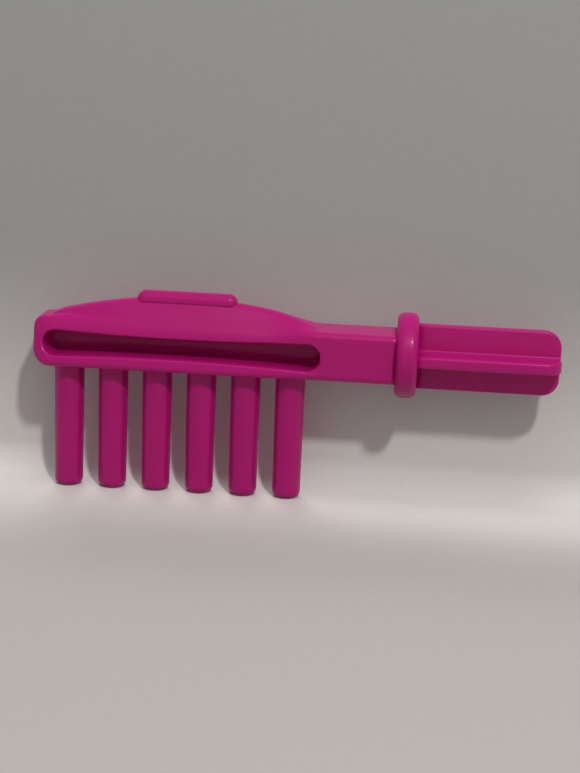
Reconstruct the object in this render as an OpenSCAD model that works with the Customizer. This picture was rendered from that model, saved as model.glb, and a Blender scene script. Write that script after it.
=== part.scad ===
// Wide tooth comb with a hollow back, six peg teeth, a thumb pad, a neck, a collar and a plug-in cross shank.
// Millimetres. X runs along the comb with the shank at +X, the slotted face looks to -Y, the tooth tips stand
// on Z = 0 and the origin is the middle of the foot of the outer box.

/* [Teeth] */
// Distance between the axes of neighbouring teeth
tooth_pitch = 8; // [7:0.1:10]
// Free length of a tooth, from the underside of the back to the tip
tooth_length = 22.9; // [14:0.1:34]
// Diameter at the root
tooth_root_d = 5.4; // [4.6:0.1:6]
// Diameter just above the rounded tip
tooth_tip_d = 5.1; // [3.6:0.1:5.4]
// Rounding of the rim of the flat tip
tooth_tip_round = 0.5; // [0.2:0.1:1]
// Diameter of the spigot that is let into the floor of the back
spigot_d = 3.4; // [2.4:0.1:4]
// Length of that spigot
spigot_length = 1.5; // [0.8:0.1:1.8]

/* [Back] */
// Depth at the underside, from the slotted face to the rear face
back_depth = 11; // [10:0.2:13]
// Height of the straight bar under the crown
back_height = 9.1; // [8.8:0.1:10]
// Lean of the slotted face and the rear face towards each other, in degrees
face_lean = 9; // [6:0.5:10]
// From the underside to the knee above the slot, where both faces lean in more
knee_height = 7.4; // [7.2:0.1:7.8]
// Lean of both faces above the knee, in degrees
upper_lean = 32; // [26:0.5:33]
// From the axis of the first tooth to the free end
free_end_margin = 6; // [5:0.1:9]
// From the axis of the last tooth to the neck end
neck_end_margin = 6.8; // [6:0.1:9]
// Rounding of the long bottom edges
bottom_round = 0.9; // [0.4:0.1:1.3]
// Rounding of the long top edges
top_round = 0.9; // [0.4:0.1:1.3]
// Rounding of the corners at the free end, seen from the front
free_end_round = 2.6; // [1:0.1:2.6]
// Rounding of the leaning edges at the free end
end_edge_round = 1.6; // [0.8:0.1:1.9]
// Rounding of the edges at the neck end
neck_end_round = 0.5; // [0.3:0.1:0.7]

/* [Crown] */
// Height of the crest over the flat top of the bar at mid length
crown_rise = 3.7; // [3:0.05:4.4]
// From the free end to where the crest leaves the flat top
crown_free_inset = 2.6; // [2.4:0.1:5]
// From the neck end to where the crest leaves the flat top
crown_neck_inset = 1.2; // [1:0.1:3]
// Lean of the crown's flanks, in degrees
crown_lean = 40; // [34:1:48]
// Width of the crest before its edges are rounded
crest_width = 1.9; // [1.4:0.1:2.4]
// Rounding of the crest's edges
crest_round = 0.6; // [0.3:0.05:0.7]
// How far the crown's section runs down into the bar
crown_root = 2; // [1:0.1:3]

/* [Slot] */
// Thickness of the lip under the slot
slot_lip = 2.7; // [2:0.1:3.2]
// Height of the slot at its round ends
slot_height = 3.85; // [3.2:0.05:4.2]
// How far the upper edge hangs down at mid length
slot_sag = 0.6; // [0.2:0.05:0.9]
// Wall between the slot and the free end
slot_free_wall = 2.1; // [1.6:0.1:3]
// Wall between the slot and the neck end
slot_neck_wall = 1.5; // [1.4:0.1:2.6]
// How far the slot's floor lies behind the middle of the back
slot_floor = 2.2; // [0.5:0.1:2.4]

/* [Thumb pad] */
// Length along the comb
pad_length = 18.2; // [12:0.2:24]
// Depth from front to rear
pad_depth = 3.8; // [3.6:0.1:5]
// Height of the flat top over the crest
pad_rise = 1; // [0.6:0.1:1.8]
// How far the pad reaches down over the crest
pad_wrap = 0.65; // [0.5:0.05:0.9]
// Rounding of the two ends, seen from the front
pad_end_round = 1.6; // [0.6:0.1:1.6]
// Rounding of the two ends, seen from above
pad_plan_round = 1.7; // [0.8:0.1:1.7]
// Rounding of the long top edges
pad_edge_round = 0.9; // [0.2:0.1:1.2]

/* [Neck] */
// Free length between the back and the collar
neck_length = 11.7; // [6:0.1:18]
// Depth from front to rear
neck_depth = 10; // [8:0.1:10.4]
// Height
neck_height = 8.7; // [7.4:0.1:8.7]
// Rounding of the four long edges
neck_round = 1.6; // [1:0.1:2.6]
// Rounding of the upright edges where the neck leaves the back
neck_start_round = 2.4; // [1:0.1:3]

/* [Collar] */
// Diameter over the round rim
collar_d = 15.2; // [14.6:0.1:18]
// Width along the comb
collar_width = 3.8; // [3.2:0.1:5]
// Rounding of both edges of the rim
collar_round = 1.5; // [0.6:0.1:1.6]
// From the underside of the back to the axis of the collar and the shank
axis_height = 4.6; // [4.2:0.1:5]

/* [Cross shank] */
// Length from the collar to the tip
shank_length = 25.1; // [14:0.1:36]
// Size across opposite ribs
shank_span = 11.6; // [9:0.1:12]
// Thickness of the ribs
rib_thickness = 2; // [1.4:0.1:3]
// Rounding of the rib corners at the tip
rib_tip_round = 2.8; // [1:0.1:3.6]
// Rounding of the long outer edges of the ribs
rib_edge_round = 0.4; // [0.1:0.05:0.6]

/* [Fits] */
// How far the neck and the shank are let into their neighbours
seat_depth = 0.8; // [0.5:0.1:1]
// Gap all round between a let-in piece and its pocket
seat_gap = 0.02; // [0.01:0.01:0.1]

/* [Hidden] */
$fn = 96;
arc_fn = 360;
tooth_count = 6;
plastic = [0.80, 0.10, 0.47];
spill = 1;

back_length = free_end_margin + (tooth_count - 1) * tooth_pitch + neck_end_margin;
overall_length = back_length + neck_length + collar_width + shank_length;
back_x0 = -overall_length / 2;
back_x1 = back_x0 + back_length;
collar_x0 = back_x1 + neck_length;
collar_x1 = collar_x0 + collar_width;
shank_x1 = collar_x1 + shank_length;

back_z0 = tooth_length;
back_z1 = back_z0 + back_height;
knee_z = back_z0 + knee_height;
knee_half = back_depth / 2 - knee_height * tan(face_lean);
upper_half = knee_half + knee_height * tan(upper_lean);
axis_z = back_z0 + axis_height;
neck_z1 = back_z0 + neck_height;
crown_z = back_z1 + crown_rise;
crown_mid = (back_x0 + crown_free_inset + back_x1 - crown_neck_inset) / 2;
crown_reach = (back_length - crown_free_inset - crown_neck_inset) / 2;
crown_radius = (crown_reach * crown_reach + crown_rise * crown_rise) / (2 * crown_rise);
crown_x0 = back_x0 + (max(free_end_round, end_edge_round) + crown_free_inset) / 2;
crown_x1 = back_x1 - (neck_end_round + crown_neck_inset) / 2;
crest_flare = tan(crown_lean);
pad_z = crown_z + pad_rise;
slot_z0 = back_z0 + slot_lip;
slot_x0 = back_x0 + slot_free_wall;
slot_x1 = back_x1 - slot_neck_wall;
slot_reach = (slot_x1 - slot_x0 - slot_height) / 2;
sag_radius = (slot_reach * slot_reach + slot_sag * slot_sag) / (2 * slot_sag);

function tooth_x(i) = back_x0 + free_end_margin + (i - 1) * tooth_pitch;
// Half depth of the back at the height z above the knee
function half_at(z) = max(0.1, knee_half - (z - knee_z) * tan(upper_lean));

// Rectangle from (x0, y0) to (x1, y1) with its left corners rounded by rl and its right corners by rr
module corner_rect(x0, x1, y0, y1, rl, rr) {
  translate([x0 + rl, y0])
    square([x1 - x0 - rl - rr, y1 - y0]);
  if (rl > 0) {
    translate([x0, y0 + rl])
      square([rl, y1 - y0 - 2 * rl]);
    for (y = [y0 + rl, y1 - rl])
      translate([x0 + rl, y])
        circle(rl);
  }
  translate([x1 - rr, y0 + rr])
    square([rr, y1 - y0 - 2 * rr]);
  for (y = [y0 + rr, y1 - rr])
    translate([x1 - rr, y])
      circle(rr);
}

// Carries a front view, drawn in X and Z, through the depth d about Y = 0
module through_depth(d) {
  translate([0, d / 2, 0])
    rotate([90, 0, 0])
      linear_extrude(d)
        children();
}

// Carries a section, drawn in Y and Z, along the comb from x0 to x1
module along_comb(x0, x1) {
  translate([x0, 0, 0])
    rotate([90, 0, 90])
      linear_extrude(x1 - x0)
        children();
}

// Section with sides that lean in by the given angle, from half width w at y0 up to y1, with rounded corners
module leaning_section(y0, y1, w, lean, r0, r1) {
  top = w - (y1 - y0) * tan(lean);
  cut0 = r0 / tan(45 - lean / 2);
  cut1 = r1 / tan(45 + lean / 2);
  right = [[w - cut0, y0],
           [w - cut0 * sin(lean), y0 + cut0 * cos(lean)],
           [top + cut1 * sin(lean), y1 - cut1 * cos(lean)],
           [top - cut1, y1]];
  left = [for (i = [3:-1:0]) [-right[i][0], right[i][1]]];
  polygon(concat(right, left));
  for (side = [-1, 1]) {
    translate([side * (w - cut0), y0 + r0])
      circle(r0);
    translate([side * (top - cut1), y1 - r1])
      circle(r1);
  }
}

// Column that leans with the slotted face and rounds the two end edges of that face
module face_column() {
  translate([0, -back_depth / 2, back_z0])
    rotate([-face_lean, 0, 0])
      linear_extrude(2 * (back_height + crown_rise))
        corner_rect(back_x0, back_x1, 0, 3 * back_depth, end_edge_round, neck_end_round);
}

// Bar with rounded edges: its front view and section carried through each other and two leaning columns
module back_bar() {
  intersection() {
    through_depth(back_depth)
      corner_rect(back_x0, back_x1, back_z0, back_z1, free_end_round, neck_end_round);
    along_comb(back_x0, back_x1)
      intersection() {
        leaning_section(back_z0, back_z1, back_depth / 2, face_lean, bottom_round, bottom_round);
        leaning_section(back_z0, back_z1, upper_half, upper_lean, bottom_round, top_round);
      }
    face_column();
    mirror([0, 1, 0])
      face_column();
  }
}

// Ridge with a rounded crest that follows a wide arc along the comb and flares down to the bar's top edges
module crown_ring() {
  deep = crown_rise + crown_root;
  translate([crown_mid, 0, crown_z - crown_radius])
    rotate([90, 0, 0])
      rotate_extrude($fn = arc_fn)
        rotate([0, 0, -90])
          leaning_section(crown_radius - deep, crown_radius, crest_width / 2 + deep * crest_flare,
                          crown_lean, crest_round / 2, crest_round);
}

// Crown cut back to the leaning faces of the bar
module back_crown() {
  foot_z = (knee_z + back_z1) / 2;
  head_z = crown_z + spill;
  intersection() {
    crown_ring();
    along_comb(crown_x0, crown_x1)
      polygon([[-half_at(foot_z), foot_z], [half_at(foot_z), foot_z],
               [half_at(head_z), head_z], [-half_at(head_z), head_z]]);
  }
}

// Blind slot with round ends and an upper edge that hangs down at mid length
module slot_cut() {
  translate([0, slot_floor - back_depth / 2, 0])
    through_depth(back_depth)
      difference() {
        union() {
          translate([slot_x0 + slot_height / 2, slot_z0])
            square([slot_x1 - slot_x0 - slot_height, slot_height]);
          for (x = [slot_x0 + slot_height / 2, slot_x1 - slot_height / 2])
            translate([x, slot_z0 + slot_height / 2])
              circle(d = slot_height);
        }
        translate([(slot_x0 + slot_x1) / 2, slot_z0 + slot_height - slot_sag + sag_radius])
          circle(sag_radius, $fn = arc_fn);
      }
}

// Straight neck with its two let-in ends, grown all round by g to cut its pockets
module neck_bar(g) {
  x0 = back_x1 - seat_depth;
  x1 = collar_x0 + seat_depth;
  half = neck_depth / 2 + g;
  low = back_z0 - g;
  high = neck_z1 + g;
  intersection() {
    along_comb(x0, x1)
      corner_rect(-half, half, low, high, neck_round + g, neck_round + g);
    translate([0, 0, low])
      linear_extrude(high - low)
        corner_rect(x0, x1 + neck_start_round + g, -half, half, neck_start_round + g, neck_start_round + g);
  }
}

// Upright and level ribs of the shank with the let-in root, grown all round by g to cut its pocket
module shank_ribs(g) {
  half = shank_span / 2 + g;
  thick = rib_thickness / 2 + g;
  for (turn = [0, 90])
    translate([0, 0, axis_z])
      rotate([turn, 0, 0])
        intersection() {
          through_depth(2 * thick)
            corner_rect(collar_x1 - seat_depth, shank_x1, -half, half, 0, rib_tip_round);
          along_comb(collar_x1 - seat_depth, shank_x1)
            corner_rect(-thick, thick, -half, half, rib_edge_round + g, rib_edge_round + g);
        }
}

module comb_back() {
  color(plastic)
    difference() {
      union() {
        back_bar();
        back_crown();
      }
      slot_cut();
      for (i = [1:tooth_count])
        translate([tooth_x(i), 0, back_z0 - spill])
          cylinder(h = spigot_length + spill, d = spigot_d + 2 * seat_gap);
      neck_bar(seat_gap);
    }
}

module thumb_pad() {
  foot_z = crown_z - pad_wrap;
  x0 = crown_mid - pad_length / 2;
  x1 = crown_mid + pad_length / 2;
  color(plastic)
    difference() {
      intersection() {
        through_depth(pad_depth)
          corner_rect(x0, x1, foot_z - pad_end_round, pad_z, pad_end_round, pad_end_round);
        along_comb(x0, x1)
          corner_rect(-pad_depth / 2, pad_depth / 2, foot_z - pad_edge_round, pad_z,
                      pad_edge_round, pad_edge_round);
        translate([0, 0, foot_z])
          linear_extrude(pad_z - foot_z)
            corner_rect(x0, x1, -pad_depth / 2, pad_depth / 2, pad_plan_round, pad_plan_round);
      }
      crown_ring();
    }
}

module tooth(i) {
  tip_r = tooth_tip_d / 2;
  color(plastic)
    translate([tooth_x(i), 0, 0]) {
      rotate_extrude()
        intersection() {
          square([tip_r, tooth_tip_round]);
          union() {
            square([tip_r - tooth_tip_round, tooth_tip_round]);
            translate([tip_r - tooth_tip_round, tooth_tip_round])
              circle(tooth_tip_round);
          }
        }
      translate([0, 0, tooth_tip_round])
        cylinder(h = tooth_length - tooth_tip_round, d1 = tooth_tip_d, d2 = tooth_root_d);
      translate([0, 0, tooth_length])
        cylinder(h = spigot_length, d = spigot_d);
    }
}

module neck() {
  color(plastic)
    neck_bar(0);
}

module collar() {
  color(plastic)
    difference() {
      translate([collar_x0, 0, axis_z])
        rotate([0, 90, 0])
          rotate_extrude() {
            square([collar_d / 2 - collar_round, collar_width]);
            translate([0, collar_round])
              square([collar_d / 2, collar_width - 2 * collar_round]);
            for (x = [collar_round, collar_width - collar_round])
              translate([collar_d / 2 - collar_round, x])
                circle(collar_round);
          }
      neck_bar(seat_gap);
      shank_ribs(seat_gap);
    }
}

module cross_shank() {
  color(plastic)
    shank_ribs(0);
}

comb_back();
thumb_pad();
tooth(1);  // tooth_1
tooth(2);  // tooth_2
tooth(3);  // tooth_3
tooth(4);  // tooth_4
tooth(5);  // tooth_5
tooth(6);  // tooth_6
neck();
collar();
cross_shank();
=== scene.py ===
import math

import bmesh
import bpy
import numpy as np
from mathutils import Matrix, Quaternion, Vector


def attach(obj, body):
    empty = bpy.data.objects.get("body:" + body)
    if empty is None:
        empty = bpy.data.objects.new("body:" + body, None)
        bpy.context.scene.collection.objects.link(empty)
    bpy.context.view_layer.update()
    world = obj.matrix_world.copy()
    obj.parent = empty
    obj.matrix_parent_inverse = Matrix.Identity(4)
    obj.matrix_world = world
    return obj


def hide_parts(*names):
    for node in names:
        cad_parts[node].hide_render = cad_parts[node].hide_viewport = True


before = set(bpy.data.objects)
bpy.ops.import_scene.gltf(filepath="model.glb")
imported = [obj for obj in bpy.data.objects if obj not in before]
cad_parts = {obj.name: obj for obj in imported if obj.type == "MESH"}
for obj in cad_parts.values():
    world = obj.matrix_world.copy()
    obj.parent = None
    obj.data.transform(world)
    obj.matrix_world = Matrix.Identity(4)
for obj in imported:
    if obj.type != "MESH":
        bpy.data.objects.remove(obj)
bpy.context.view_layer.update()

# Comb back: a wedge of satin pink plastic, deep at the underside and narrow at the crest, with a blind slot
# along the front. The whole comb comes out of one two-part mould, so edges are soft and nothing is screwed.
# Lengths are in millimetres until a mesh is made.
MM = 0.001
back_x0, back_x1, back_z0, back_z1, base_half = -46.7, 6.1, 22.9, 32.0, 5.5
knee_z, knee_soft, low_lean, high_lean = 30.3, 0.7, math.radians(9), math.radians(32)
end_length, end_set_back, end_droop, droop_length = 3.7, 1.4, 0.35, 3.5
low_round, high_round, edge_round, end_edge_round, hidden_round = 2.9, 2.1, 0.9, 1.65, 0.08
slot_x0, slot_x1, slot_z0, slot_z1, slot_floor = -44.7, 4.6, 24.72, 29.35, 2.2
slot_waist, slot_flare, slot_cove, slot_rim = 0.55, 0.17, 1.6, 0.4
crown_mid, crown_reach, crown_rise, crown_soft, crown_bend = -19.6, 24.5, 3.7, 0.12, 0.9
ledge_lag, ledge_soft, eaves_z, eaves_drop, ridge_half = 0.8, 0.1, 30.9, 0.5, 1.0
neck_x0, neck_half, neck_round, neck_z1, neck_skin = 4.6, 5.0, 1.1, 31.6, 0.02
back_runs = (170, 14, 10, 14, 170, 8, 10, 8)
along_top = np.repeat([0, 0, 0, 0, 1, 0, 0, 0], back_runs)
at_neck_end = np.repeat([0, 0, 0, 0, 0, 1, 1, 1], back_runs)


def eased(x, start, end):
    """Step from 0 at start to 1 at end, held outside: 3t squared less 2t cubed of the share t of the way."""
    t = np.clip((x - start) / (end - start), 0, 1)
    return t * t * (3 - 2 * t)


def soft_ramp(t, rounding):
    """Zero below zero and t above it, with a round corner: half the sum of t and the root of t squared plus
    the rounding."""
    return (t + np.sqrt(t**2 + rounding)) / 2


def to_neck(x):
    """Share of the neck's section in the back's: 0 along most of the slot, 1 where the neck begins."""
    start, end = -5.0, 4.2
    return eased(x, start, end)


def sunk(x):
    """Depth, a fiftieth of a millimetre, at which the back's last stretch runs in under the neck's skin."""
    seam_length = 1.2
    return neck_skin * eased(x, neck_x0, neck_x0 + seam_length)


def half_depth(x, z):
    """Half depth of the back: both faces lean in by nine degrees up to a soft knee above the slot and by 32
    degrees over it. They curve back at the free end, and near the neck they turn upright at its depth."""
    low, high = math.tan(low_lean), math.tan(high_lean)
    near_end = np.maximum(back_x0 + end_length - x, 0) / end_length
    over_knee = soft_ramp(z - knee_z, knee_soft)
    wedge = base_half - low * (z - back_z0) - (high - low) * over_knee - end_set_back * near_end**2
    return wedge + to_neck(x) * (neck_half - wedge) - sunk(x)


def path(runs, *stops):
    """One value along a closed outline: even steps from each stop to the next, as many as its run has."""
    return np.concatenate([a + (b - a) * np.arange(n) / n for a, b, n in zip(stops, stops[1:], runs)])


def box_turn(runs):
    """Angle of the way out along a box's outline: steady on each side, and a quarter turn at each corner."""
    return np.radians(path(runs, 270, 270, 180, 180, 90, 90, 0, 0, -90))


def points(x, y, z):
    """Stacks three coordinates, each an array or one number, into an array of points."""
    return np.stack(np.broadcast_arrays(x, y, z), axis=-1).astype(float)


def line(a, b, shares):
    """Points on the straight way from a to b, one row for each share of the way."""
    return a + np.asarray(shares, float)[:, None, None] * (b - a)


def blend(a, b, share):
    """Rows between the rows a and b, with one share of b for each place along the outline."""
    return a + share[:, None] * (b - a)


def on_face(rows, side):
    """Sets the depth of each point to the front face, side -1, or to the rear face, side 1."""
    return points(rows[..., 0], side * half_depth(rows[..., 0], rows[..., 2]), rows[..., 2])


def curve(controls, shares):
    """Bezier curve: the control points weighted by the Bernstein polynomials, one row for each share."""
    t = np.asarray(shares, float)[:, None, None]
    n = len(controls) - 1
    return sum(math.comb(n, k) * t**k * (1 - t) ** (n - k) * p for k, p in enumerate(controls))


def between(a, b, shares):
    """Unit vectors on the great circle from a to b: sines of the parts of the angle weigh the two ends."""
    t = np.asarray(shares, float)[:, None, None]
    angle = np.arccos(np.clip((a * b).sum(-1), -1, 1))[:, None]
    return (np.sin((1 - t) * angle) * a + np.sin(t * angle) * b) / np.sin(angle)


def face_normal(x, z):
    """Outward normal of the front face, from the rates at which its half depth changes along X and Z."""
    step = 0.01
    along = (half_depth(x + step, z) - half_depth(x - step, z)) / (2 * step)
    upward = (half_depth(x, z + step) - half_depth(x, z - step)) / (2 * step)
    normal = points(-along, -1, -upward)
    return normal / np.linalg.norm(normal, axis=-1, keepdims=True)


def rounded_edge(edge, out, radius, shares):
    """Edge between the front face and a wall along Y: a ball touches both, and its skin is followed from the
    face's normal round to the wall's normal, out."""
    centre = edge - radius[:, None] * out
    normal = face_normal(centre[:, 0], centre[:, 2])
    centre[:, 1] = -half_depth(centre[:, 0], centre[:, 2]) - radius / normal[:, 1]
    return centre + radius[:, None] * between(normal, out, shares)


def bar_edge():
    """Outline of the bar from the front, with the way out of it: along the underside, round the free end,
    along the top, which hangs a little at that end, and down inside the neck."""
    turn = box_turn(back_runs)
    out = points(np.cos(turn), 0, np.sin(turn))
    low_x, high_x, end_x = back_x0 + low_round, back_x0 + high_round, back_x1 - hidden_round
    low_z, high_z = back_z0 + low_round, back_z1 - end_droop - high_round
    neck_low, neck_high = back_z0 + neck_round, neck_z1 - neck_round
    core_x = path(back_runs, end_x, low_x, low_x, high_x, high_x, end_x, end_x, end_x, end_x)
    core_z = path(back_runs, neck_low, low_z, low_z, high_z, high_z, neck_high, neck_high, neck_low, neck_low)
    corner_z = path(back_runs, neck_round, low_round, low_round, high_round, high_round,
                    neck_round, neck_round, neck_round, neck_round)
    corner_x = np.where(at_neck_end, hidden_round, corner_z)
    edge = points(core_x + corner_x * out[:, 0], 0, core_z + corner_z * out[:, 2])
    x = edge[:, 0]
    droop = end_droop * eased(x, high_x + droop_length, high_x)
    top_z = back_z1 + (neck_z1 - back_z1) * to_neck(x) - droop
    edge[:, 2] = np.where(along_top, top_z, edge[:, 2]) - sunk(x) * out[:, 2]
    return edge, out


def out_and_back(left, right):
    """Places on a middle line along X for the outline's points: out below, back above, still at the ends."""
    return path(back_runs, right, left, left, left, left, right, right, right, right)


def slot_rows():
    """Slot from the middle line of its floor over the cove and up the wall to the rounded rim. Its long edges
    are parabolas that draw together at mid length, and the right end is a little wider than the left."""
    turn = np.radians(path(back_runs, 270, 270, 210, 150, 90, 90, 30, -30, -90))
    out = points(np.cos(turn), 0, np.sin(turn))
    height = slot_z1 - slot_z0
    left, right = slot_x0 + (height - slot_flare) / 2, slot_x1 - (height + slot_flare) / 2
    x = out_and_back(left, right)
    from_mid = (2 * x - left - right) / (right - left)
    waist = slot_waist * (1 - from_mid**2)
    top, low = slot_z1 - waist, slot_z0 + waist - slot_flare * from_mid
    floor_mid = points(x, slot_floor, (top + low) / 2)
    edge = points(x, 0, (top + low) / 2) + (top - low)[:, None] / 2 * out
    cove_mid = edge - slot_cove * out + np.array([0, slot_floor - slot_cove, 0])
    inward = np.broadcast_to([0.0, 1.0, 0.0], out.shape)
    cove = cove_mid + slot_cove * between(inward, out, np.linspace(0, 1, 12))
    rim = rounded_edge(edge, -out, np.full(len(edge), slot_rim), np.linspace(1, 0, 8))
    wall = line(cove[-1], rim[0], [0.1, 0.5, 0.9])
    return np.concatenate([line(floor_mid, cove[0], [0, 0.5]), cove, wall, rim])


def crown_height(x):
    """Height of the crest over the bar: a circle's arc through the rise and the reach, with soft ends."""
    radius = (crown_reach**2 + crown_rise**2) / (2 * crown_rise)
    arc = crown_rise - radius + np.sqrt(radius**2 - (x - crown_mid) ** 2)
    return soft_ramp(arc, crown_soft)


def crown_rows(edge, plain):
    """Rows from the front face over to the crest. The crown's faces carry on those of the bar at mid length,
    stand back from them behind a soft ledge towards the free end, and flatten like a gable towards the neck,
    where the rows of the plain bar only swell."""
    x, ledge_z = edge[:, 0], edge[:, 2]
    gable_x0, gable_x1 = crown_mid - 6, crown_mid + 8
    swell_x0, swell_x1, fade_x0, fade_x1 = -2.5, 3.0, 2.5, 6.0
    mid_plane, upright = np.array([1, 0, 1]), np.array([0, 0, 1])
    rise = crown_height(x)
    bend_z = np.minimum(crown_bend, 0.45 * rise)
    low_z, high_z = ledge_z + bend_z, ledge_z + rise - bend_z
    stand_back = soft_ramp(crown_rise - rise - ledge_lag, ledge_soft)
    bend_shares, flank_shares = np.linspace(0, 1, 14), np.linspace(0, 1, 8)
    crest_shares = flank_shares[1:]

    def front(z, behind=0.0):
        """Row at height z, as deep as the front face is at that height and the height behind together."""
        return points(x, -half_depth(x, z + behind), z)

    flank = front(low_z + flank_shares[:, None] * (high_z - low_z), stand_back)
    shoulder, foot = front(ledge_z), front(ledge_z, stand_back)
    crest = front(ledge_z + rise, stand_back)
    ledge = curve([front(ledge_z - crown_bend), shoulder, (shoulder + foot) / 2, foot, flank[0]], bend_shares)
    ledged = np.concatenate([ledge, flank[1:], curve([flank[-1], crest, crest * mid_plane], crest_shares)])

    eaves, ridge_edge = front(eaves_z), points(x, -ridge_half, ledge_z + rise)
    gable_low, gable_high = line(eaves, ridge_edge, [0.3, 0.8])
    gabled = np.concatenate([
        curve([front(eaves_z - eaves_drop), eaves, gable_low], bend_shares),
        line(gable_low, gable_high, crest_shares),
        curve([gable_high, ridge_edge, ridge_edge * mid_plane], crest_shares)])

    swell = rise * eased(x, fade_x1, fade_x0) * eased(plain[..., 1], -neck_half, -ridge_half)
    swollen = plain + swell[..., None] * upright
    ridge = blend(ledged, gabled, eased(x, gable_x0, gable_x1))
    return blend(ridge, swollen, eased(x, swell_x0, swell_x1))


def back_rings():
    """Rings round the bar's outline, from the slot's floor to its rim, over the front face and the edge, over
    the underside, the end or the crown, and down the rear face to its middle line."""
    edge, out = bar_edge()
    x = edge[:, 0]
    at_free_end, at_neck = np.clip(-out[:, 0], 0, 1) ** 2, np.clip(out[:, 0], 0, 1) ** 2
    towards_neck = to_neck(x) * (1 - at_neck)
    radius = (edge_round + (end_edge_round - edge_round) * at_free_end
              + (neck_round - edge_round) * towards_neck + (hidden_round - edge_round) * at_neck)
    arc = rounded_edge(edge, out, radius, np.linspace(0, 1, 10))
    plain = np.concatenate([arc, line(arc[-1], edge, np.linspace(0, 1, 19)[1:])])
    crown_x0, crown_onset = back_x0 + high_round, 1.8
    over = blend(plain, crown_rows(edge, plain), along_top * eased(x, crown_x0, crown_x0 + crown_onset))

    slot = slot_rows()
    rear = over[::-1] * np.array([1, -1, 1])
    rear_x0, rear_x1 = back_x0 + 2.5, back_x1 - hidden_round
    rear_mid = points(out_and_back(rear_x0, rear_x1), 0, (back_z0 + back_z1) / 2)
    return np.concatenate([
        slot, on_face(line(slot[-1], over[0], [0.04, 0.35, 0.65, 0.96]), -1), over, rear[1:],
        on_face(line(rear[-1], rear_mid, [0.03, 0.2, 0.4, 0.6, 0.8, 1]), 1)])


class Wire:
    """A socket of a material's node tree. Sums and products with it add Math nodes."""

    def __init__(self, tree, socket=None):
        self.tree, self.socket = tree, socket

    def make(self, kind, settings, inputs, output=0):
        """Adds one node: first its settings, then its sockets take values or links, by name or number."""
        made = self.tree.nodes.new(kind)
        for name, value in settings.items():
            setattr(made, name, value)
        for key, value in inputs.items():
            if isinstance(value, Wire):
                self.tree.links.new(value.socket, made.inputs[key])
            else:
                made.inputs[key].default_value = value
        return Wire(self.tree, made.outputs[output] if len(made.outputs) else None)

    def maths(self, operation, a, b=0.0):
        """Math node on one or two values."""
        return self.make("ShaderNodeMath", {"operation": operation}, {0: a, 1: b})

    def mix(self, factor, a, b, blend_type="MIX"):
        """Mix node on two colours, which are its sockets 6 and 7. The mixed colour is its output 2."""
        settings = {"data_type": "RGBA", "blend_type": blend_type}
        return self.make("ShaderNodeMix", settings, {"Factor": factor, 6: a, 7: b}, 2)

    def ramp(self, value, start, end):
        """Map Range node that eases from 0 at start to 1 at end, whichever of them is the larger."""
        return self.make("ShaderNodeMapRange", {"interpolation_type": "SMOOTHSTEP"},
                         {"Value": value, "From Min": start, "From Max": end})

    def __add__(self, other):
        return self.maths("ADD", self, other)

    def __mul__(self, other):
        return self.maths("MULTIPLY", self, other)

    __radd__ = __add__
    __rmul__ = __mul__


def bare_finish(name):
    """New material with an empty node tree, and the wire that nodes are added with."""
    material = bpy.data.materials.new(name)
    material.use_nodes = True
    material.node_tree.nodes.clear()
    return material, Wire(material.node_tree)


def moulded_pink():
    """Satin plastic: flow clouds shift the pink a little, handling smears the gloss, and fine grain and a
    faint mould seam on the middle plane lift the surface."""
    deep_pink, light_pink = (0.49, 0.004, 0.185, 1), (0.55, 0.007, 0.215, 1)
    material, new = bare_finish("moulded_pink")
    place = new.make("ShaderNodeTexCoord", {}, {}, "Object")

    def noise(scale, detail, roughness):
        """Noise of the given number of cells in a metre."""
        return new.make("ShaderNodeTexNoise", {}, {"Vector": place, "Scale": scale, "Detail": detail,
                                                   "Roughness": roughness}, "Fac")

    clouds, smears = noise(70, 3, 0.5), noise(420, 4, 0.6)
    grain, specks = noise(5200, 2, 0.5), noise(1500, 1, 0.4)
    depth = new.make("ShaderNodeSeparateXYZ", {}, {"Vector": place}, 1)
    seam = new.ramp(new.maths("ABSOLUTE", depth), 0.12 * MM, 0.03 * MM)
    height = 0.5 * grain + 0.3 * specks + 1.2 * seam
    bump = new.make("ShaderNodeBump", {}, {"Strength": 0.12, "Distance": 0.06 * MM, "Height": height})
    plastic = new.make("ShaderNodeBsdfPrincipled", {}, {
        "Base Color": new.mix(clouds, deep_pink, light_pink),
        "Roughness": 0.30 + 0.14 * smears + 0.05 * grain, "Normal": bump,
        "IOR": 1.5, "Specular IOR Level": 0.2, "Coat Weight": 0.2, "Coat Roughness": 0.14,
        "Subsurface Weight": 0.3, "Subsurface Radius": (1.0, 0.15, 0.45), "Subsurface Scale": 1.5 * MM})
    new.make("ShaderNodeOutputMaterial", {}, {"Surface": plastic})
    return material


pink_plastic = moulded_pink()


def placed(name, data):
    """New object in the scene, at the origin and unturned."""
    thing = bpy.data.objects.new(name, data)
    bpy.context.scene.collection.objects.link(thing)
    return thing


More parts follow.
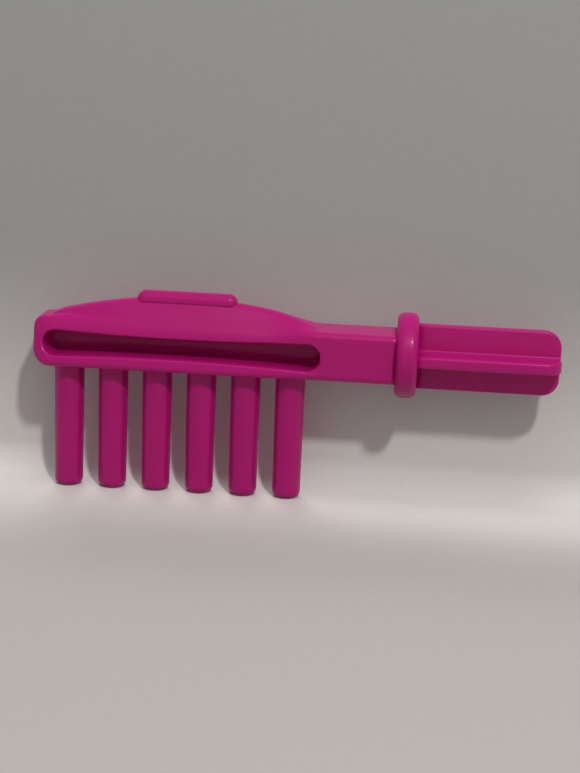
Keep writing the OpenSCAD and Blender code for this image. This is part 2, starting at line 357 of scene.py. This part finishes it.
def skin(name, rings, node):
    """Mesh over rings of points in millimetres: each ring closes on itself, neighbouring rings are joined by
    four-cornered faces, and rings that shrink to a line or a point are welded shut."""
    weld, sliver = 0.0002 * MM, 0.00002 * MM
    count, around = rings.shape[:2]
    at = np.arange(count * around).reshape(count, around)
    step = np.roll(at, -1, axis=1)
    faces = np.stack([at[:-1], step[:-1], step[1:], at[1:]], axis=-1).reshape(-1, 4)
    mesh = bpy.data.meshes.new(name)
    mesh.from_pydata((rings.reshape(-1, 3) * MM).tolist(), [], faces.tolist())
    work = bmesh.new()
    work.from_mesh(mesh)
    bmesh.ops.remove_doubles(work, verts=work.verts, dist=weld)
    bmesh.ops.dissolve_degenerate(work, edges=work.edges, dist=sliver)
    bmesh.ops.recalc_face_normals(work, faces=work.faces)
    work.to_mesh(mesh)
    work.free()
    mesh.shade_smooth()
    mesh.materials.append(pink_plastic)
    piece = placed(name, mesh)
    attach(piece, "root")
    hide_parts(node)


skin("back_wedge", back_rings(), "comb_back")

# Thumb pad: a raised bar of the same moulding astride the middle of the crest, soft on top and at the ends.
# Its sides stand a little proud of the crown's faces and run down into them.
pad_half_length, pad_half_depth, pad_z0, pad_z1 = 8.95, 1.65, 34.7, 36.7
pad_plan_round, pad_top_round, pad_end_extra, pad_low_round = 1.5, 1.45, 0.1, 0.25


def box_core(runs, a, b):
    """Outline of a box with half lengths a and b, from which its round corners are struck."""
    return path(runs, a, -a, -a, -a, -a, a, a, a, a), path(runs, -b, -b, -b, b, b, b, b, -b, -b)


def pad_rings():
    """Rings round the pad's plan, from its top's middle line over the round edge, down the side and under."""
    runs = (60, 12, 4, 12, 60, 12, 4, 12)
    turn = box_turn(runs)
    out = points(np.cos(turn), np.sin(turn), 0)
    core_x, core_y = box_core(runs, pad_half_length - pad_plan_round, pad_half_depth - pad_plan_round)
    core = points(crown_mid + core_x, core_y, 0)
    edge = core + pad_plan_round * out
    up = np.broadcast_to([0.0, 0.0, 1.0], out.shape)
    top, low = pad_top_round + pad_end_extra * out[:, :1] ** 2, pad_low_round
    top_arc = edge + pad_z1 * up - top * (out + up) + top * between(up, out, np.linspace(0, 1, 9))
    low_arc = edge + pad_z0 * up - low * (out - up) + low * between(out, -up, np.linspace(0, 1, 5))
    spine = points(core[:, 0], 0, 0)
    return np.concatenate([
        line(spine + pad_z1 * up, top_arc[0], [0, 0.5, 0.95]), top_arc,
        line(top_arc[-1], low_arc[0], [0.5]), low_arc,
        line(low_arc[-1], spine + pad_z0 * up, [0.05, 0.5, 1])])


skin("pad_bar", pad_rings(), "thumb_pad")

# Teeth: round solid pegs that taper a little towards flat tips with a softened rim. Each grows out of the
# underside of the back with a small fillet, on a pitch of 8 mm.
tooth_count, tooth_pitch, tooth_first = 6, 8.0, -40.7
tip_flat, tip_round, root_r, root_round = 1.45, 1.1, 2.69, 0.4


def turned(profile_r, profile_z, around):
    """Surface of revolution about Z: each point of the profile goes round a full circle."""
    turn = 2 * np.pi * np.arange(around) / around
    return points(profile_r[:, None] * np.cos(turn), profile_r[:, None] * np.sin(turn), profile_z[:, None])


def tooth_rings():
    """Peg turned about Z: flat tip, quarter-round rim, straight taper, flared root, end inside the back."""
    rim = np.linspace(-np.pi / 2, 0, 10)
    root = np.linspace(0, np.pi / 2, 7)
    taper_r, taper_z = np.linspace(2.56, 2.68, 7), np.linspace(1.45, 22.4, 7)
    root_z, end_r, end_z = back_z0 + 0.01 - root_round, 3.0, back_z0 + 0.5
    r = np.concatenate([[0, 0.7, 1.4], tip_flat + tip_round * np.cos(rim), taper_r,
                        root_r + root_round * (1 - np.cos(root)), [end_r, 0]])
    z = np.concatenate([[0, 0, 0], tip_round + tip_round * np.sin(rim), taper_z,
                        root_z + root_round * np.sin(root), [end_z, end_z]])
    return turned(r, z, 56)


for number in range(1, tooth_count + 1):
    shift = np.array([tooth_first + (number - 1) * tooth_pitch, 0, 0])
    skin(f"tooth_peg_{number}", tooth_rings() + shift, f"tooth_{number}")

# Neck: a square bar with rounded edges that carries the back to the collar. The back's end already has its
# section, so the two run on into each other.
neck_fine_x1, neck_x1 = 6.4, 18.6


def capped(sides):
    """Tube closed at both ends: the first and the last ring are drawn together in their middles."""
    middles = np.broadcast_to(sides.mean(axis=1, keepdims=True), sides.shape)
    return np.concatenate([middles[:1], sides, middles[-1:]])


def neck_rings():
    """Rounded rectangle carried along X. It starts a fiftieth of a millimetre under the back's skin."""
    runs = (16, 12, 16, 12, 16, 12, 16, 12)
    turn = box_turn(runs)
    y, z = box_core(runs, neck_half - neck_round, (neck_z1 - back_z0) / 2 - neck_round)
    x = np.append(np.linspace(neck_x0, neck_fine_x1, 15), np.linspace(neck_fine_x1, neck_x1, 9)[1:])[:, None]
    around = neck_round - neck_skin + sunk(x)
    return capped(points(x, y + around * np.cos(turn), (back_z0 + neck_z1) / 2 + z + around * np.sin(turn)))


skin("neck_bar", neck_rings(), "neck")

# Collar: a disc with a rounded rim, moulded round the end of the neck, that stops the shank in its socket.
# It is a body of revolution about the axis of the neck and the shank.
collar_x0, collar_x1, collar_r, collar_round, axis_z = 17.8, 21.6, 7.6, 1.3, 27.5


def collar_rings():
    """Disc turned about the comb's axis: flat side, two quarter-round edges with a short flat, flat side."""
    part = np.linspace(0, np.pi / 2, 10)
    inner = collar_r - collar_round
    side_r = [0, 3.0, inner - 0.1]
    r = np.concatenate([side_r, inner + collar_round * np.sin(part),
                        inner + collar_round * np.cos(part), side_r[::-1]])
    x = np.concatenate([[collar_x0] * 3, collar_x0 + collar_round * (1 - np.cos(part)),
                        collar_x1 - collar_round * (1 - np.sin(part)), [collar_x1] * 3])
    return turned(r, x, 112)[:, :, [2, 0, 1]] + np.array([0, 0, axis_z])


skin("collar_ring", collar_rings(), "collar")

# Cross shank: two crossed ribs that plug into a handle. Ribs keep the wall even, so that the plastic cools
# without sinking, and the corners at the tip are rounded to find the socket.
shank_x0, shank_x1, rib_half_span, rib_half, tip_corner = 20.8, 46.7, 5.8, 1.0, 3.0
rib_edge, rib_fillet, tip_edge = 0.4, 0.4, 0.3


def fall(from_tip, radius):
    """Fall of a quarter circle of that radius at a distance from the tip, and none beyond the radius."""
    return radius - np.sqrt(np.maximum(radius**2 - np.maximum(radius - from_tip, 0) ** 2, 0))


def shank_rings():
    """Plus-shaped section carried along X. One rib end is a half section with rounded edges and a small
    fillet in the corner, turned four times; the span shrinks on a circle towards the soft edge of the tip."""
    from_tip = np.append(np.linspace(shank_x1 - shank_x0, tip_corner, 12)[:-1],
                         tip_corner * (1 - np.sin(np.linspace(0, np.pi / 2, 18))))[:, None]
    span, half = rib_half_span - fall(from_tip, tip_corner), rib_half - fall(from_tip, tip_edge)
    bend, half_bend = np.linspace(np.pi / 2, 0, 6), np.linspace(0, np.pi / 4, 4)
    corner = half + rib_fillet
    across = np.concatenate([half - rib_edge + rib_edge * np.cos(bend), half, half,
                             corner - rib_fillet * np.cos(half_bend)], axis=1)
    along = np.concatenate([span - rib_edge + rib_edge * np.sin(bend), span - 0.6 * (span - half),
                            corner + 0.1, corner - rib_fillet * np.sin(half_bend)], axis=1)
    far, near = np.stack([-across, along], -1)[:, ::-1], np.stack([across, along], -1)
    arm = np.concatenate([far, near], axis=1)[:, 1:]
    arms = [np.stack([arm[..., 0] * c + arm[..., 1] * s, arm[..., 1] * c - arm[..., 0] * s], -1)
            for c, s in ((1, 0), (0, 1), (-1, 0), (0, -1))]
    section = np.concatenate(arms, axis=1)
    return capped(points(shank_x1 - from_tip, section[..., 0], axis_z + section[..., 1]))


skin("shank_ribs", shank_rings(), "cross_shank")

# Floor and wall: a pale sheet that the comb stands on, curving up close behind it, with painted light that
# makes it paler towards the crease. Seen from behind, the wall is clear, so that the rear of the comb shows.
wall_y, wall_cove, wall_top, floor_reach, side_reach, floor_step = 8.3, 5.2, 700.0, 900.0, 700.0, 0.05
# The corner tone is painted light: a paler tone painted where floor and wall meet, standing in for light
# falling there.
corner_painted_light, floor_tone, wall_tone = (0.84, 0.82, 0.80, 1), (0.56, 0.53, 0.515, 1), (0.44, 0.445, 0.43, 1)
floor_bounce, wall_bounce, speck_tone = (0.36, 0.345, 0.335, 1), (0.4, 0.39, 0.38, 1), (0.93, 0.93, 0.93, 1)
corner_y, floor_fade, wall_fade = wall_y - wall_cove, 40.0, 45.0


def paper(name, tone, fade, bounce, one_sided):
    """Pale finish with a little grain and painted light: palest where floor and wall meet, fading to the
    plain tone.
    fade gives an axis and the two places between which that painted light dies away. The light that it sends
    back has a plain tone of its own."""
    material, new = bare_finish(name)
    axis, start, end = fade
    place = new.make("ShaderNodeTexCoord", {}, {}, "Object")
    grain = new.make("ShaderNodeTexNoise", {}, {"Vector": place, "Scale": 900, "Detail": 5}, "Fac")
    along = new.make("ShaderNodeSeparateXYZ", {}, {"Vector": place}, axis)
    # Painted light: the tone runs from the pale corner tone at the crease to the plain tone away from it.
    painted_light_gradient = new.mix(new.ramp(along, start * MM, end * MM), corner_painted_light, tone)
    speckled = new.mix(grain, painted_light_gradient, speck_tone, "MULTIPLY")
    to_camera = new.make("ShaderNodeLightPath", {}, {}, "Is Camera Ray")
    seen = to_camera + new.make("ShaderNodeLightPath", {}, {}, "Is Glossy Ray")
    shown = new.make("ShaderNodeBsdfDiffuse", {}, {"Color": new.mix(seen, bounce, speckled)})
    if one_sided:
        clear = new.make("ShaderNodeBsdfTransparent", {}, {})
        behind = new.make("ShaderNodeNewGeometry", {}, {}, "Backfacing")
        shown = new.make("ShaderNodeMixShader", {}, {0: behind, 1: shown, 2: clear})
    new.make("ShaderNodeOutputMaterial", {}, {"Surface": shown})
    return material


def sheet(name, profile_y, profile_z, finish):
    """Profile in Y and Z carried straight along X."""
    x = np.array([-side_reach, side_reach])
    grid = points(x[:, None], np.asarray(profile_y), np.asarray(profile_z)) * MM
    count = grid.shape[1]
    low = np.arange(count - 1)
    faces = np.stack([low, count + low, count + low + 1, low + 1], -1)
    mesh = bpy.data.meshes.new(name)
    mesh.from_pydata(grid.reshape(-1, 3).tolist(), [], faces.tolist())
    mesh.shade_smooth()
    mesh.materials.append(finish)
    stand = placed(name, mesh)
    return stand


sheet("floor_front", [-floor_reach, corner_y], [0, 0],
      paper("floor_front_paper", floor_tone, (1, corner_y, -floor_fade), floor_bounce, False))
sheet("floor_rear", [corner_y, floor_reach], [-floor_step, -floor_step],
      paper("floor_rear_paper", floor_tone, (1, corner_y, floor_fade), floor_bounce, False))
cove_turn = np.linspace(0, np.pi / 2, 12)
wall = sheet("wall", np.append(corner_y + wall_cove * np.sin(cove_turn), wall_y),
             np.append(wall_cove - wall_cove * np.cos(cove_turn), wall_top),
             paper("wall_paper", wall_tone, (2, 0, wall_fade), wall_bounce, True))
wall.visible_shadow = False

# Light: a small panel high in front, a little to the right, draws the shadows and the glints. A broad one
# overhead, another high behind and a dim pale room fill in. The broad ones aren't mirrored in the gloss.
light_aim, lamp_colour = Vector((0, 0, 0.02)), (1.0, 0.98, 0.96)
room_colour, room_strength = (1.0, 0.98, 0.97, 1), 0.34


def panel(name, spot, width, height, watts, mirrored):
    """Lamp with an oval face of the given size in metres, turned towards the comb."""
    lamp = bpy.data.lights.new(name, "AREA")
    lamp.shape = "ELLIPSE"
    lamp.size, lamp.size_y = width, height
    lamp.energy, lamp.color = watts, lamp_colour
    stand = placed(name, lamp)
    stand.location, stand.visible_glossy = spot, mirrored
    stand.rotation_mode = "QUATERNION"
    stand.rotation_quaternion = (light_aim - Vector(spot)).to_track_quat("-Z", "Y")


panel("front_panel", (0.190, -0.469, 0.553), 0.05, 0.05, 2.0, True)
panel("top_panel", (0.020, -0.152, 0.739), 0.40, 0.30, 0.8, False)
panel("rear_panel", (-0.15, 0.50, 0.52), 0.40, 0.40, 1.4, False)
room = bpy.data.worlds.new("room")
room.use_nodes = True
room.node_tree.nodes["Background"].inputs["Color"].default_value = room_colour
room.node_tree.nodes["Background"].inputs["Strength"].default_value = room_strength
bpy.context.scene.world = room
bpy.context.scene.view_settings.view_transform = "Standard"

# Camera: a little above the comb, slightly towards the shank, and tilted so that the shank hangs lower.
# It stands about three lengths of the comb away.
aim, distance = Vector((-0.75, 0.0, 20.54)) * MM, 269 * MM
azimuth, elevation, roll = math.radians(3.5), math.radians(14), math.radians(2.49)
back_way = Vector((math.sin(azimuth) * math.cos(elevation), -math.cos(azimuth) * math.cos(elevation),
                   math.sin(elevation)))
lens = bpy.data.cameras.new("camera")
lens.lens, lens.sensor_width = 69.9, 36.0
lens.clip_start, lens.clip_end = 0.01, 10.0
camera = placed("camera", lens)
camera.location = aim + back_way * distance
camera.rotation_mode = "QUATERNION"
camera.rotation_quaternion = (-back_way).to_track_quat("-Z", "Y") @ Quaternion((0, 0, 1), roll)
bpy.context.scene.camera = camera
